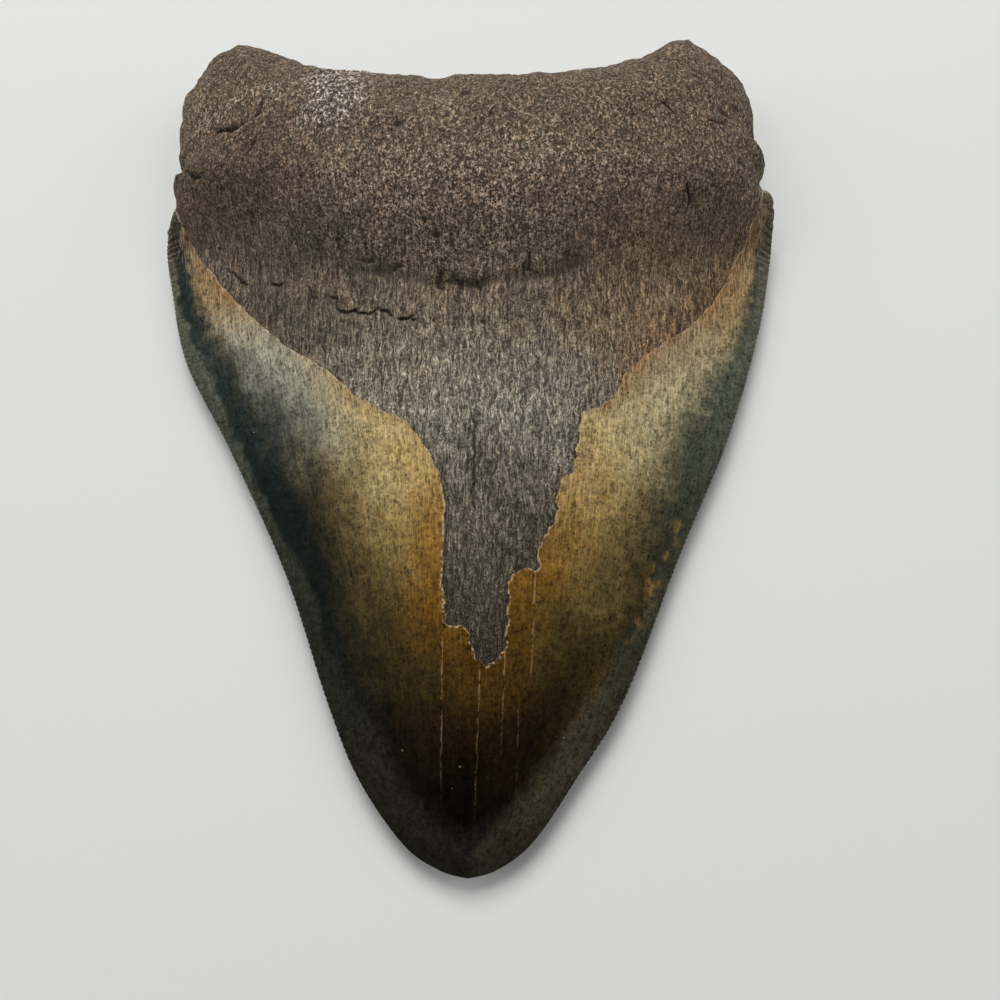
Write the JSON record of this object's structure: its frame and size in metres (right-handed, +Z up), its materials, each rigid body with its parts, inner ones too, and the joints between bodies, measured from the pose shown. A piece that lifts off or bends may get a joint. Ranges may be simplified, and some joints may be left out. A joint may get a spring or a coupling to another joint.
{
  "type": "fossil megalodon tooth",
  "caption": "Fossil shark tooth lying on its flatter face: a broad triangular crown with thin cutting edges below a thick two-lobed root.",
  "frame": {"origin": "middle of the base of the bounding box, on the surface that the tooth lies on", "axes": "+X across the tooth to the right cutting edge seen from above with the tip towards the viewer, +Y from the tip to the root, +Z up out of the domed tongue-side face"},
  "size_m": [0.1142, 0.1496, 0.0265],
  "materials": {
    "fossil": null
  },
  "bodies": {
    "root": {"tooth": "fossil"}
  },
  "joints": []
}
